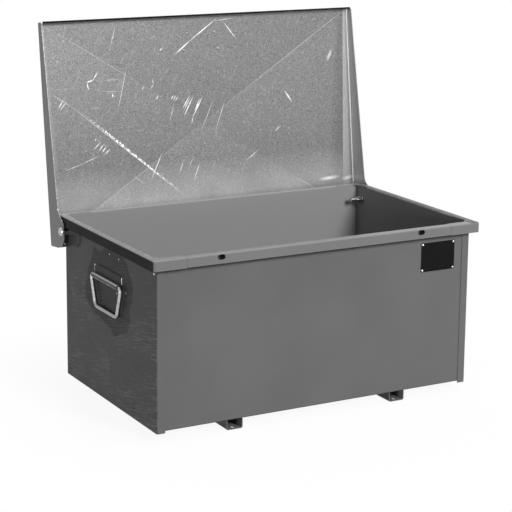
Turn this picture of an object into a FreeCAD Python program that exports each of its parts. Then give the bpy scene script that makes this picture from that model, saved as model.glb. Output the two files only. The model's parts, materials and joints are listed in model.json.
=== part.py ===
import FreeCAD, Part
import math
import os

# A steel jobsite storage box: folded panels with a rim of corner pieces, two foot channels,
# a cross-broken lid on two side pivots, and a drop handle on each side.
# Sizes are in millimetres. The origin is on the floor, in the middle of the feet:
# +X is right, +Y is to the rear and +Z is up. The lid is modelled open, on its stop.

# Sheet metal
sheet = 2.0
bend_radius = 2.0                # inside a fold
seam_gap = 0.5                   # between sheets that meet end to end
hole_clearance = 0.2             # fixed pins in their holes, on the radius
cut_overrun = 40.0               # how far a cutter runs past what it cuts

# Box panels
box_width = 900.0                # over the side panels
box_depth = 550.0                # over the side panels' returns
rim_height = 455.0
rim_overhang = 19.0              # rim's outer face beyond the side panel, and beyond the front
rear_rim_overhang = 9.0          # narrower, because the lid's rear flange swings round it
rim_flange_depth = 25.0
base_height = 25.0               # underside of the front and rear panels
bottom_flange_width = 20.0
side_drop = 4.0                  # side panels reach this far below the front panel
return_width = 22.0              # side panel folded round onto front and rear
floor_flange_height = 20.0

# Padlock slots in the front rim, and the matching ones in the lid
slot_spacing = 574.0
slot_width = 21.0
slot_height = 13.0
slot_drop = 9.0                  # slot centre below the top of the rim
slot_corner_radius = 6.4         # nearly round ends

# Rim corner pieces
corner_leg = 90.0
rear_corner_side_leg = 70.0      # rear pieces, along the side
corner_flange_depth = 26.0
corner_plan_radius = 8.0
corner_inner_chamfer = 15.0

# Foot channels
foot_spacing = 475.0
foot_width = 45.0
foot_sheet = 2.5
foot_bend_radius = 2.5
foot_hole_radius = 5.5
foot_hole_inset = 13.0           # hole centre from the end of the channel

# Lid pivots
pivot_inset = 30.0               # forward of the rear face
pivot_drop = 39.0                # below the top of the rim
pivot_radius = 6.0
pivot_running_clearance = 0.05   # bolt in the ear, on the radius
pivot_side_clearance = 0.2       # between the ear and what holds it
pivot_head_radius = 12.0
pivot_head_rim = 1.2
pivot_head_height = 6.0
pivot_end_reach = 36.0           # bolt end inside the side panel
pivot_end_chamfer = 1.2
spacer_radius = 10.0
washer_radius = 12.0
washer_thickness = 2.5
nut_across_flats = 19.0
nut_height = 10.0
nut_chamfer = 1.0

# Hinge plates behind the lid's ears
hinge_plate_thickness = 4.0
hinge_plate_length = 94.0
hinge_plate_rear_inset = 5.0
hinge_plate_top_drop = 19.0      # below the top of the rim
hinge_plate_height = 56.0
hinge_plate_nose_radius = 36.0   # lower front corner
hinge_plate_corner_radius = 4.0

# Lid, in its own frame: origin at the pivot, y towards its rear, z towards its outside
lid_side_gap = 2.5               # cheek to rim
lid_front_gap = 2.0
lid_rear_gap = 5.0
lid_height = 80.0                # pivot to the lid's outside
lid_crown = 7.0                  # rise of the cross-break
lid_border = 12.0                # flat band round the cross-break
lid_front_flange_depth = 24.5
lid_seat_gap = 0.5               # lid to rim at the front, closed
lid_stop_gap = 0.3               # rear flange to the side panels' returns, open
open_lean = 6.6                  # degrees past upright
cheek_depth = 62.0               # at the front of the ear
cheek_end = 50.0                 # front of the ear, forward of the pivot
ear_throat_radius = 26.0
ear_toe = 18.0                   # forward of the pivot
ear_heel = 20.0                  # to the rear of the pivot
ear_drop = 16.0                  # below the pivot
ear_toe_radius = 18.0
ear_heel_radius = 18.0
ear_rear_rise = 6.0
ear_rear_radius = 12.0

# Rubber trim on the free edge of the lid's front flange
trim_wall = 1.5
trim_height = 7.0
trim_nose_radius = 2.0
trim_lip_radius = 0.5

# Pull handle and its rivets on the lid's outside
handle_rivet_setback = 48.0      # front rivets from the lid's front
handle_rivet_pitch = 45.5        # front rivets to rear rivets
handle_front_spacing = 83.0
handle_rear_spacing = 105.4
handle_margin = 11.0             # plate round its rivets
handle_sheet = 2.5
handle_bend_radius = 3.0
handle_rise = 26.0
handle_reach = 20.0              # grip lip forward of the plate
handle_hem = 8.0
handle_corner_radius = 8.0

# Rivets
rivet_radius = 2.4
rivet_head_radius = 4.5
rivet_head_rim = 0.4
rivet_head_height = 2.2
plate_rivet_radius = 1.6
plate_rivet_head_radius = 3.0
plate_rivet_head_rim = 0.3
plate_rivet_head_height = 1.5
head_dome_shares = ((1, 0), (0.8, 0.62), (0.45, 1))     # of the head's radius and dome

# Drop handles on the side panels
bail_wire_radius = 5.0
bail_running_clearance = 0.08    # wire in the eye, on the radius
bail_shoulder = 90.0             # half width at the eye, to the bend's corner
bail_grip = 64.0                 # half width at the bottom, to the bend's corner
bail_drop = 79.0
bail_shoulder_radius = 9.0
bail_grip_radius = 16.0
bail_split = 2.0                 # between the wire's ends, inside the eye
eye_sheet = 2.5
eye_length = 154.0
eye_drop = 116.0                 # eye axis below the top of the rim
strap_length = 162.0
strap_height = 29.0

# Rating plate on the front
plate_width = 102.0
plate_height = 76.0
plate_thickness = 1.5
plate_side_inset = 46.0          # from the side panel
plate_top_drop = 43.5            # from the top of the rim
plate_corner_radius = 3.0
plate_rivet_inset = 4.0

# Places that follow from the sizes above
half_width = box_width / 2
half_depth = box_depth / 2
front_face = half_depth - sheet
rim_x = half_width + rim_overhang
rim_y = half_depth + rim_overhang
rear_rim_y = half_depth + rear_rim_overhang
wall_top = rim_height - sheet
floor_seat = base_height + sheet
fold_outside = bend_radius + sheet
front_half_run = half_width - fold_outside - seam_gap
pivot_y = half_depth - pivot_inset
pivot_z = rim_height - pivot_drop
lid_x = rim_x + lid_side_gap + sheet
lid_front = -(pivot_y + rim_y + lid_front_gap + sheet)
lid_rear = rear_rim_y - pivot_y + lid_rear_gap + sheet
eye_radius = bail_wire_radius + bail_running_clearance
eye_x = half_width + eye_radius + eye_sheet
eye_z = rim_height - eye_drop
crown_run = (lid_rear - lid_front) / 2 - lid_border
crown_slope = math.degrees(math.atan2(lid_crown, crown_run))

# The closed lid rests with its front on the rim, so it slopes up to the rear
front_reach = pivot_y + rim_y
inside_height = lid_height - sheet
seat_rise = pivot_drop + lid_seat_gap
closed_slope = math.atan2(inside_height, front_reach) - math.asin(
    seat_rise / math.hypot(inside_height, front_reach))
lid_travel = math.degrees(closed_slope) + 90 + open_lean

# The rear flange is as deep as it takes to stop the lid on the box's rear
lean = math.radians(open_lean)
rear_flange_edge = (pivot_inset + lid_stop_gap + lid_rear * math.sin(lean)) / math.cos(lean)


def vec(x, y, z):
    return FreeCAD.Vector(x, y, z)


def rounded_edges(corners, closed):
    """Straight runs and tangent arcs through (x, y, radius) corners in the XY plane."""
    starts = []
    ends = []
    arcs = []
    last = len(corners) - 1
    for index, (x, y, radius) in enumerate(corners):
        here = vec(x, y, 0)
        if radius == 0 or (not closed and index in (0, last)):
            starts.append(here)
            ends.append(here)
            arcs.append(None)
            continue
        before = corners[index - 1]
        after = corners[(index + 1) % len(corners)]
        back = (vec(before[0], before[1], 0) - here).normalize()
        ahead = (vec(after[0], after[1], 0) - here).normalize()
        half_angle = back.getAngle(ahead) / 2
        middle = (back + ahead).normalize()
        tangent = radius / math.tan(half_angle)
        starts.append(here + back * tangent)
        ends.append(here + ahead * tangent)
        arc_middle = here + middle * (radius / math.sin(half_angle) - radius)
        arcs.append(Part.Arc(starts[-1], arc_middle, ends[-1]).toShape())
    edges = []
    for index, arc in enumerate(arcs):
        if arc:
            edges.append(arc)
        follower = (index + 1) % len(corners)
        open_end = not closed and index == last
        if not open_end and not ends[index].isEqual(starts[follower], 1e-6):
            edges.append(Part.LineSegment(ends[index], starts[follower]).toShape())
    return edges


def outline(corners):
    """Closed face in the XY plane from (x, y, radius) corners."""
    return Part.Face(Part.Wire(rounded_edges(corners, True)))


def rounded_rectangle(centre_x, centre_y, width, height, radius):
    left = centre_x - width / 2
    low = centre_y - height / 2
    right = centre_x + width / 2
    high = centre_y + height / 2
    return outline([(left, low, radius), (right, low, radius), (right, high, radius), (left, high, radius)])


def folded_section(face_line, thickness, inside_radius):
    """Section of a folded sheet: face_line runs along one face, and the sheet lies on its left."""
    points = [vec(x, y, 0) for x, y in face_line]
    runs = [(b - a).normalize() for a, b in zip(points, points[1:])]
    lefts = [vec(-run.y, run.x, 0) for run in runs]
    near = [(points[0].x, points[0].y, 0)]
    far = [points[0] + lefts[0] * thickness]
    far = [(far[0].x, far[0].y, 0)]
    for index in range(1, len(runs)):
        turns_left = runs[index - 1].cross(runs[index]).z > 0
        corner = points[index]
        bisector = lefts[index - 1] + lefts[index]
        offset = bisector * (thickness / bisector.dot(lefts[index]))
        near_radius = inside_radius + thickness if turns_left else inside_radius
        far_radius = inside_radius if turns_left else inside_radius + thickness
        near.append((corner.x, corner.y, near_radius))
        far.append((corner.x + offset.x, corner.y + offset.y, far_radius))
    tip = points[-1]
    far_tip = tip + lefts[-1] * thickness
    near.append((tip.x, tip.y, 0))
    far.append((far_tip.x, far_tip.y, 0))
    return outline(near + far[::-1])


def prism_along_x(section, low, high):
    """A section drawn in (y, z), drawn out along X."""
    solid = section.extrude(vec(0, 0, high - low))
    solid.Placement = FreeCAD.Placement(vec(low, 0, 0), FreeCAD.Rotation(vec(1, 1, 1), 120))
    return solid


def prism_along_y(section, low, high):
    """A section drawn in (x, z), drawn out along Y."""
    solid = section.extrude(vec(0, 0, high - low))
    solid.Placement = FreeCAD.Placement(vec(0, high, 0), FreeCAD.Rotation(vec(1, 0, 0), 90))
    return solid


def prism_along_z(section, low, high):
    """A section drawn in (x, y), drawn out along Z."""
    solid = section.extrude(vec(0, 0, high - low))
    solid.Placement = FreeCAD.Placement(vec(0, 0, low), FreeCAD.Rotation())
    return solid


def block(x_low, x_high, y_low, y_high, z_low, z_high):
    return Part.makeBox(x_high - x_low, y_high - y_low, z_high - z_low, vec(x_low, y_low, z_low))


def rod_along_x(radius, low, high, y, z):
    return Part.makeCylinder(radius, high - low, vec(low, y, z), vec(1, 0, 0))


def turned(shape, degrees):
    """A copy turned about the upright through the origin."""
    copy = shape.copy()
    copy.rotate(vec(0, 0, 0), vec(0, 0, 1), degrees)
    return copy


def left_of(shape):
    """The left-hand copy of a right-hand piece."""
    return shape.mirror(vec(0, 0, 0), vec(1, 0, 0))


def button_head(radius, edge, height):
    """A domed head on the XY plane, rising along Z, turned in flats round a plain edge."""
    dome = height - edge
    profile = [vec(0, 0, 0), vec(radius, 0, 0)]
    profile += [vec(radius * across, 0, edge + dome * rise) for across, rise in head_dome_shares]
    profile += [vec(0, 0, height), vec(0, 0, 0)]
    return Part.Face(Part.makePolygon(profile)).revolve(vec(0, 0, 0), vec(0, 0, 1), 360)


def rivet(radius, head_radius, edge, height, grip):
    """A rivet along Z: its shank fills the grip above the XY plane, with a domed head at each end."""
    head = button_head(head_radius, edge, height)
    head.translate(vec(0, 0, grip))
    tail = button_head(head_radius, edge, height).mirror(vec(0, 0, 0), vec(0, 0, 1))
    return Part.makeCylinder(radius, grip).fuse([head, tail]).removeSplitter()


def with_rim(wall, wall_face, rim_face, start, end):
    """A wall that faces -Y, its upper edge folded outwards and down between the corner pieces."""
    inner_face = wall_face - sheet
    flange_edge = rim_height - rim_flange_depth
    line = [(-inner_face, flange_edge), (-inner_face, rim_height), (-rim_face, rim_height),
            (-rim_face, flange_edge)]
    fold = prism_along_x(folded_section(line, sheet, bend_radius), start, end)
    plain_edge = block(start, end, -wall_face - cut_overrun, -wall_face + cut_overrun,
                       flange_edge, rim_height + cut_overrun)
    return wall.cut(plain_edge).fuse(fold).removeSplitter()


def end_panel(rim_face):
    """Front panel, without its slots: bottom flange, wall and folded rim."""
    flange_edge = front_face - bottom_flange_width
    line = [(-front_face, wall_top), (-front_face, base_height), (-flange_edge, base_height)]
    wall = prism_along_x(folded_section(line, sheet, bend_radius), -front_half_run, front_half_run)
    half_run = rim_x - corner_leg - seam_gap
    return with_rim(wall, front_face, rim_face, -half_run, half_run)


def plate_rivet_places():
    """Centres of the rating plate's rivets in (x, z)."""
    x_far = half_width - plate_side_inset - plate_rivet_inset
    z_far = rim_height - plate_top_drop - plate_rivet_inset
    x_near = x_far - plate_width + plate_rivet_inset * 2
    z_near = z_far - plate_height + plate_rivet_inset * 2
    return [(x, z) for x in (x_near, x_far) for z in (z_near, z_far)]


def plate_rivet_holes():
    radius = plate_rivet_radius + hole_clearance
    length = cut_overrun * 2
    start = -front_face - cut_overrun
    places = plate_rivet_places()
    return [Part.makeCylinder(radius, length, vec(x, start, z), vec(0, 1, 0)) for x, z in places]


def front_panel():
    slots = []
    for side in (-1, 1):
        slot = rounded_rectangle(side * slot_spacing / 2, rim_height - slot_drop, slot_width, slot_height,
                                 slot_corner_radius)
        slots.append(prism_along_y(slot, -rim_y - sheet, -rim_y + sheet * 2))
    return end_panel(rim_y).cut(slots + plate_rivet_holes())


def side_panel():
    """Right side panel: a wall with returns folded round onto the front and rear, and a folded rim."""
    return_edge = return_width - half_width
    line = [(-half_depth, return_edge), (-half_depth, -half_width), (half_depth, -half_width),
            (half_depth, return_edge)]
    wall = prism_along_z(folded_section(line, sheet, bend_radius), base_height - side_drop, wall_top)
    front_end = corner_leg + seam_gap - rim_y
    rear_end = rear_rim_y - rear_corner_side_leg - seam_gap
    panel = turned(with_rim(wall, half_width, rim_x, front_end, rear_end), 90)
    return panel.cut(rod_along_x(pivot_radius + hole_clearance, 0, rim_x, pivot_y, pivot_z))


def floor_panel():
    edge = half_width - sheet
    line = [(-edge, floor_seat + floor_flange_height), (-edge, floor_seat), (edge, floor_seat),
            (edge, floor_seat + floor_flange_height)]
    half_run = front_face - fold_outside - seam_gap
    return prism_along_y(folded_section(line, sheet, bend_radius), -half_run, half_run)


def folded_corner_block(x, y, low, high, plan_radius, edge_radius):
    """Block in the front right corner of the rim, with rounded upright and upper outer edges."""
    x_inner = x - corner_leg - cut_overrun
    y_inner = y - corner_leg - cut_overrun
    plan = outline([(x_inner, -y, 0), (x, -y, plan_radius), (x, -y_inner, 0), (x_inner, -y_inner, 0)])
    solid = prism_along_z(plan, low, high)
    upper_outer = [edge for edge in solid.Edges
                   if edge.BoundBox.ZMin > high - sheet
                   and edge.BoundBox.XMax > x_inner + sheet and edge.BoundBox.YMin < -y_inner - sheet]
    return solid.makeFillet(edge_radius, upper_outer)


def rim_corner(rim_face, side_leg):
    """Front right corner of the rim: an L-shaped cap with a flange folded down round its outside."""
    flange_edge = rim_height - corner_flange_depth
    outside = folded_corner_block(rim_x, rim_face, flange_edge, rim_height, corner_plan_radius, fold_outside)
    hollow = folded_corner_block(rim_x - sheet, rim_face - sheet, flange_edge - cut_overrun, wall_top,
                                 corner_plan_radius - sheet, bend_radius)
    wall_x = half_width - sheet
    wall_y = front_face - sheet
    leg_x = rim_x - corner_leg
    leg_y = rim_face - side_leg
    chamfer_x = wall_x - corner_inner_chamfer
    chamfer_y = wall_y - corner_inner_chamfer
    plan = outline([(leg_x, -rim_face, 0), (rim_x, -rim_face, 0), (rim_x, -leg_y, 0), (wall_x, -leg_y, 0),
                    (wall_x, -chamfer_y, 0), (chamfer_x, -wall_y, 0), (leg_x, -wall_y, 0)])
    return outside.cut(hollow).common(prism_along_z(plan, flange_edge, rim_height))


def foot_channel():
    """Right foot: a channel, open upwards, notched at its ends for the panels' bottom flanges."""
    centre = foot_spacing / 2
    left = centre - foot_width / 2
    right = centre + foot_width / 2
    line = [(left, floor_seat), (left, 0), (right, 0), (right, floor_seat)]
    channel = prism_along_y(folded_section(line, foot_sheet, foot_bend_radius), -front_face, front_face)
    cutters = []
    for end in (-1, 1):
        inner = front_face - bottom_flange_width - seam_gap
        span = sorted((end * inner, end * (front_face + cut_overrun)))
        cutters.append(block(left - cut_overrun, right + cut_overrun, span[0], span[1], base_height,
                             floor_seat + cut_overrun))
        hole_start = vec(centre, end * (front_face - foot_hole_inset), -cut_overrun / 2)
        cutters.append(Part.makeCylinder(foot_hole_radius, cut_overrun, hole_start))
    return channel.cut(cutters)


def hinge_plate():
    """Right doubler plate that carries the pivot bolt."""
    rear = half_depth - hinge_plate_rear_inset
    front = rear - hinge_plate_length
    top = rim_height - hinge_plate_top_drop
    low = top - hinge_plate_height
    shape = outline([(front, low, hinge_plate_nose_radius), (rear, low, hinge_plate_corner_radius),
                     (rear, top, hinge_plate_corner_radius), (front, top, hinge_plate_corner_radius)])
    plate = prism_along_x(shape, half_width, half_width + hinge_plate_thickness)
    return plate.cut(rod_along_x(pivot_radius + hole_clearance, 0, rim_x, pivot_y, pivot_z))


def pivot_bolt():
    """Right pivot bolt: domed head outside the ear, and an end that shows inside the box."""
    seat = lid_x + pivot_side_clearance
    inner_end = half_width - sheet - pivot_end_reach
    shank = rod_along_x(pivot_radius, inner_end, seat, pivot_y, pivot_z)
    end_edges = [edge for edge in shank.Edges if edge.BoundBox.XMax < inner_end + pivot_radius]
    shank = shank.makeChamfer(pivot_end_chamfer, end_edges)
    head = button_head(pivot_head_radius, pivot_head_rim, pivot_head_height)
    head.Placement = FreeCAD.Placement(vec(seat, pivot_y, pivot_z), FreeCAD.Rotation(vec(0, 1, 0), 90))
    return shank.fuse(head).removeSplitter()


def pivot_ring(radius, low, high):
    """A round piece with the bolt's hole through it."""
    bore = rod_along_x(pivot_radius + hole_clearance, low, high, pivot_y, pivot_z)
    return rod_along_x(radius, low, high, pivot_y, pivot_z).cut(bore)


def pivot_spacer():
    ear_face = lid_x - sheet
    return pivot_ring(spacer_radius, half_width + hinge_plate_thickness, ear_face - pivot_side_clearance)


def pivot_washer():
    inner_face = half_width - sheet
    return pivot_ring(washer_radius, inner_face - washer_thickness, inner_face)


def pivot_nut():
    high = half_width - sheet - washer_thickness
    low = high - nut_height
    corner_radius = nut_across_flats / 2 / math.cos(math.radians(30))
    corners = []
    for index in range(6):
        angle = math.radians(60 * index)
        corner_y = pivot_y + corner_radius * math.cos(angle)
        corner_z = pivot_z + corner_radius * math.sin(angle)
        corners.append((corner_y, corner_z, 0))
    hexagon = prism_along_x(outline(corners), low, high)
    turned_blank = rod_along_x(corner_radius, low, high, pivot_y, pivot_z)
    rims = [edge for edge in turned_blank.Edges if len(edge.Vertexes) == 1]
    turned_blank = turned_blank.makeChamfer(nut_chamfer, rims)
    return hexagon.common(turned_blank).common(pivot_ring(corner_radius * 2, low, high))


def crown(base):
    """The cross-break: a low pyramid whose creases run from corner to corner."""
    x = lid_x - lid_border
    front = lid_front + lid_border
    rear = lid_rear - lid_border
    corners = [vec(-x, front, base), vec(x, front, base), vec(x, rear, base), vec(-x, rear, base)]
    peak = vec(0, (front + rear) / 2, base + lid_crown)
    faces = [Part.Face(Part.makePolygon(corners + corners[:1]))]
    for start, end in zip(corners, corners[1:] + corners[:1]):
        faces.append(Part.Face(Part.makePolygon([start, end, peak, start])))
    return Part.Solid(Part.Shell(faces))


def tray(inset, low, radius):
    """The lid's envelope or its hollow: rounded upright and upper edges under the cross-break."""
    top = lid_height - inset
    solid = block(inset - lid_x, lid_x - inset, lid_front + inset, lid_rear - inset, low, top)
    edges = [edge for edge in solid.Edges if edge.BoundBox.ZMax > low + radius]
    return solid.makeFillet(radius, edges).fuse(crown(top))


def cheek_outline():
    """Side view of the lid in (y, z): front flange, tapered cheek and hinge ear."""
    top = lid_height + lid_crown + cut_overrun
    flange_edge = lid_height - lid_front_flange_depth
    return outline([(lid_front, top, 0), (lid_front, flange_edge, 0),
                    (lid_front + fold_outside, flange_edge, 0),
                    (-cheek_end, lid_height - cheek_depth, ear_throat_radius),
                    (-ear_toe, -ear_drop, ear_toe_radius), (ear_heel, -ear_drop, ear_heel_radius),
                    (lid_rear, ear_rear_rise, ear_rear_radius), (lid_rear, top, 0)])


def lid_slot_rise():
    """Height of the lid's padlock slots above the pivot, level with the rim's when closed."""
    return front_reach * math.sin(closed_slope) + (pivot_drop - slot_drop) * math.cos(closed_slope)


def opened(shape):
    """A piece of the lid, turned about the pivot into the open place."""
    copy = shape.copy()
    copy.rotate(vec(0, 0, 0), vec(1, 0, 0), -(90 + open_lean))
    copy.translate(vec(0, pivot_y, pivot_z))
    return copy


def on_crown(shape):
    """A piece drawn flat at the front of the cross-break, laid on its slope."""
    copy = shape.copy()
    copy.rotate(vec(0, 0, 0), vec(1, 0, 0), crown_slope)
    copy.translate(vec(0, lid_front + lid_border, lid_height))
    return copy


def handle_rivet_places():
    """Rivet centres on the front slope of the cross-break."""
    front = handle_rivet_setback - lid_border
    rows = ((handle_front_spacing, front), (handle_rear_spacing, front + handle_rivet_pitch))
    return [(side * spacing / 2, along) for spacing, along in rows for side in (-1, 1)]


def handle_rivet_holes():
    radius = rivet_radius + hole_clearance
    start = -cut_overrun / 2
    return [Part.makeCylinder(radius, cut_overrun, vec(x, y, start)) for x, y in handle_rivet_places()]


def lid_panel():
    depth = ear_drop + cut_overrun
    lid = tray(0, -depth, fold_outside).common(prism_along_x(cheek_outline(), -lid_x, lid_x))
    reach = lid_x + cut_overrun
    relief = block(-reach, reach, lid_rear - fold_outside, lid_rear + cut_overrun, -depth, rear_flange_edge)
    pivot_holes = rod_along_x(pivot_radius + pivot_running_clearance, -reach, reach, 0, 0)
    cutters = [tray(sheet, -depth - cut_overrun, bend_radius), relief, pivot_holes]
    for side in (-1, 1):
        slot = rounded_rectangle(side * slot_spacing / 2, lid_slot_rise(), slot_width, slot_height,
                                 slot_corner_radius)
        cutters.append(prism_along_y(slot, lid_front - sheet, lid_front + sheet * 2))
    cutters += [on_crown(hole) for hole in handle_rivet_holes()]
    return opened(lid.cut(cutters))


def lid_edge_trim():
    """Rubber channel pushed onto the free edge of the lid's front flange."""
    edge = lid_height - lid_front_flange_depth
    low = edge - trim_wall
    high = low + trim_height
    front = lid_front - trim_wall
    rear = lid_front + sheet + trim_wall
    section = outline([(front, low, trim_nose_radius), (rear, low, trim_nose_radius),
                       (rear, high, trim_lip_radius), (front, high, trim_lip_radius)])
    half_run = lid_x - fold_outside - seam_gap
    flange = block(-lid_x, lid_x, lid_front, lid_front + sheet, edge, lid_height)
    return opened(prism_along_x(section, -half_run, half_run).cut(flange))


def lid_pull_handle():
    """Folded grip: a plate riveted to the lid, a riser, and a lip with its edge turned down."""
    front = handle_rivet_setback - lid_border - handle_margin
    rear = front + handle_rivet_pitch + handle_margin * 2
    tip = front - handle_reach
    line = [(tip, handle_rise - handle_hem), (tip, handle_rise), (front, handle_rise), (front, 0), (rear, 0)]
    widest = handle_rear_spacing / 2 + handle_margin
    strip = prism_along_x(folded_section(line, handle_sheet, handle_bend_radius), -widest, widest)
    narrow = handle_front_spacing / 2 + handle_margin
    tip_face = tip - handle_sheet
    plan = outline([(-narrow, tip_face, handle_corner_radius), (narrow, tip_face, handle_corner_radius),
                    (narrow, front, 0), (widest, rear, handle_corner_radius),
                    (-widest, rear, handle_corner_radius), (-narrow, front, 0)])
    grip = strip.common(prism_along_z(plan, -cut_overrun, handle_rise + cut_overrun))
    return opened(on_crown(grip.cut(handle_rivet_holes())))


def lid_handle_rivets():
    rivets = []
    grip = sheet + handle_sheet
    for x, y in handle_rivet_places():
        piece = rivet(rivet_radius, rivet_head_radius, rivet_head_rim, rivet_head_height, grip)
        piece.translate(vec(x, y, -sheet))
        rivets.append(opened(on_crown(piece)))
    return Part.makeCompound(rivets)


def handle_strap():
    """Right handle strap: a plate with round ends, its lower edge rolled into an eye for the wire."""
    centre_z = eye_z + strap_height / 2
    plate = rounded_rectangle(0, centre_z, strap_length, strap_height, strap_height / 2)
    strap = prism_along_x(plate, half_width, half_width + eye_sheet)
    tongue = block(half_width, half_width + eye_sheet, -eye_length / 2, eye_length / 2, eye_z, centre_z)
    start = vec(eye_x, -eye_length / 2, eye_z)
    roll = Part.makeCylinder(eye_radius + eye_sheet, eye_length, start, vec(0, 1, 0))
    bore = Part.makeCylinder(eye_radius, eye_length, start, vec(0, 1, 0))
    return strap.fuse([tongue, roll]).cut(bore).removeSplitter()


def handle_bail():
    """Right drop handle: one bent wire whose ends meet inside the eye."""
    grip_z = eye_z - bail_drop
    path = [(bail_split / 2, eye_z, 0), (bail_shoulder, eye_z, bail_shoulder_radius),
            (bail_grip, grip_z, bail_grip_radius), (-bail_grip, grip_z, bail_grip_radius),
            (-bail_shoulder, eye_z, bail_shoulder_radius), (-bail_split / 2, eye_z, 0)]
    spine = Part.Wire(rounded_edges(path, False))
    section = Part.Wire(Part.makeCircle(bail_wire_radius, vec(bail_split / 2, eye_z, 0), vec(1, 0, 0)))
    wire = spine.makePipeShell([section], True, False)
    wire.Placement = FreeCAD.Placement(vec(eye_x, 0, 0), FreeCAD.Rotation(vec(1, 1, 1), 120))
    return wire


def rating_plate():
    """Plain plate on the front, held by a rivet at each corner."""
    centre_x = half_width - plate_side_inset - plate_width / 2
    centre_z = rim_height - plate_top_drop - plate_height / 2
    shape = rounded_rectangle(centre_x, centre_z, plate_width, plate_height, plate_corner_radius)
    return prism_along_y(shape, -front_face - plate_thickness, -front_face).cut(plate_rivet_holes())


def rating_plate_rivets():
    rivets = []
    grip = plate_thickness + sheet
    for x, z in plate_rivet_places():
        piece = rivet(plate_rivet_radius, plate_rivet_head_radius, plate_rivet_head_rim,
                      plate_rivet_head_height, grip)
        piece.rotate(vec(0, 0, 0), vec(1, 0, 0), 90)
        piece.translate(vec(x, sheet - front_face, z))
        rivets.append(piece)
    return Part.makeCompound(rivets)


def all_pieces():
    pieces = {
        "front_panel": front_panel(),
        "rear_panel": turned(end_panel(rear_rim_y), 180),
        "floor_panel": floor_panel(),
        "lid_panel": lid_panel(),
        "lid_edge_trim": lid_edge_trim(),
        "lid_pull_handle": lid_pull_handle(),
        "lid_handle_rivets": lid_handle_rivets(),
        "rating_plate": rating_plate(),
        "rating_plate_rivets": rating_plate_rivets(),
    }
    front_corner = rim_corner(rim_y, corner_leg)
    rear_corner = rim_corner(rear_rim_y, rear_corner_side_leg).mirror(vec(0, 0, 0), vec(0, 1, 0))
    handed = {
        "side_panel": side_panel(),
        "foot_channel": foot_channel(),
        "hinge_plate": hinge_plate(),
        "pivot_bolt": pivot_bolt(),
        "pivot_spacer": pivot_spacer(),
        "pivot_washer": pivot_washer(),
        "pivot_nut": pivot_nut(),
        "handle_strap": handle_strap(),
        "handle_bail": handle_bail(),
    }
    for name, shape in handed.items():
        pieces["right_" + name] = shape
        pieces["left_" + name] = left_of(shape)
    for place, shape in (("front", front_corner), ("rear", rear_corner)):
        pieces[place + "_right_rim_corner"] = shape
        pieces[place + "_left_rim_corner"] = left_of(shape)
    return pieces


os.makedirs("parts", exist_ok=True)
for name, shape in all_pieces().items():
    shape.exportStep("parts/" + name + ".step")
print("lid travel", round(lid_travel, 3), "degrees")
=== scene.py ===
import json
import math

import bmesh
import bpy
from mathutils import Matrix, Vector


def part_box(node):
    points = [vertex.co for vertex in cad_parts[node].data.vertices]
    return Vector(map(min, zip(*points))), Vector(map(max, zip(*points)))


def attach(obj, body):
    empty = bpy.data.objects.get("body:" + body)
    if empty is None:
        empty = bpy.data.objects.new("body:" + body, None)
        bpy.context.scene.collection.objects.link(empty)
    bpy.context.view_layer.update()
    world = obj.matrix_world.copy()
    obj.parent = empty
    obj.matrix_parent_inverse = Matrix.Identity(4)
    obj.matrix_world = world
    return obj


bl_info = {
    "name": "Jobsite storage box",
    "version": (1, 0, 0),
    "blender": (4, 5, 0),
    "location": "3D Viewport > Sidebar > Site Box",
    "description": "Finishes a sheet-steel site box and sets its studio stage",
    "category": "Object",
}

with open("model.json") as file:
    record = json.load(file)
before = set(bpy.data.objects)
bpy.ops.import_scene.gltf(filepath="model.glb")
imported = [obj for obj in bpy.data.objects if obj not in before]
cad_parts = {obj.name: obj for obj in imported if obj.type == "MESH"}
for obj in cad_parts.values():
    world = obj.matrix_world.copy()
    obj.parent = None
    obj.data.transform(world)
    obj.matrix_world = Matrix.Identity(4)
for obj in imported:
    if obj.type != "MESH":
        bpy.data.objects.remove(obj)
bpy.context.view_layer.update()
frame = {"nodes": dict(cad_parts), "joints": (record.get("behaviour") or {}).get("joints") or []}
nodes = frame["nodes"]

MM = 0.001
SIDES = ("left", "right")

# Places and sizes on the box: its hinges, the outer faces of its walls, its rim, and the bolts' thread
HINGES = {joint["name"]: Vector(joint["pos_m"]) for joint in frame["joints"]}
LID_PIVOT = HINGES["lid_hinge"]
EYE = HINGES["right_bail_hinge"]
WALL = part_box("right_hinge_plate")[0][0]
HALF_DEPTH = 275 * MM
RIM_LOW, RIM_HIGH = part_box("front_left_rim_corner")
RIM_TOP = RIM_HIGH[2]
BOLT_RADIUS = 6 * MM
STEPS_PER_TURN = 24

# Where the coat changes: the rim's ends above a height, darkened as painted shade, the right rim, knocked,
# and the rolled eyes, bare with a painted highlight
RIM_SHADE_FOOT = 425 * MM
RIGHT_RIM = 440 * MM
EYE_REACH = 8.5 * MM

# The open lid: its lean, its sheet's distance from the pivot, and half its width at the cheeks and folds
LID_LEAN = math.radians(6.6)
LID_PLANE = 80 * MM
CHEEK_FACE = 471.6 * MM
FOLD_START, FOLD_END = 468.6 * MM, 469.4 * MM
# Where the lid is painted lighter: the inner edge at the pivot of the strips of painted reflection, its
# taper, and the reach up the lid of the painted light at its heel
STRIP_START, STRIP_TAPER = 434 * MM, 0.044
HEEL_FRONT, HEEL_REAR = 150 * MM, 30 * MM

# Shares of wear, of darkening, and of painted shade and painted light on the powder coat
HANDLE_DARKENING, RIM_PAINTED_SHADE, KNOCKS = 0.45, 0.85, 0.6
EDGE_RUB, RIM_TOP_PAINTED_LIGHT, RIM_FRONT_PAINTED_LIGHT = 0.15, 0.55, 0.2

# Shares of painted reflection and painted light on the lid, and of weather
STRIP_PAINTED_REFLECTION, HEEL_PAINTED_LIGHT, CHEEK_PAINTED_LIGHT, WEATHER = 0.3, 0.26, 0.72, 0.8


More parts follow.
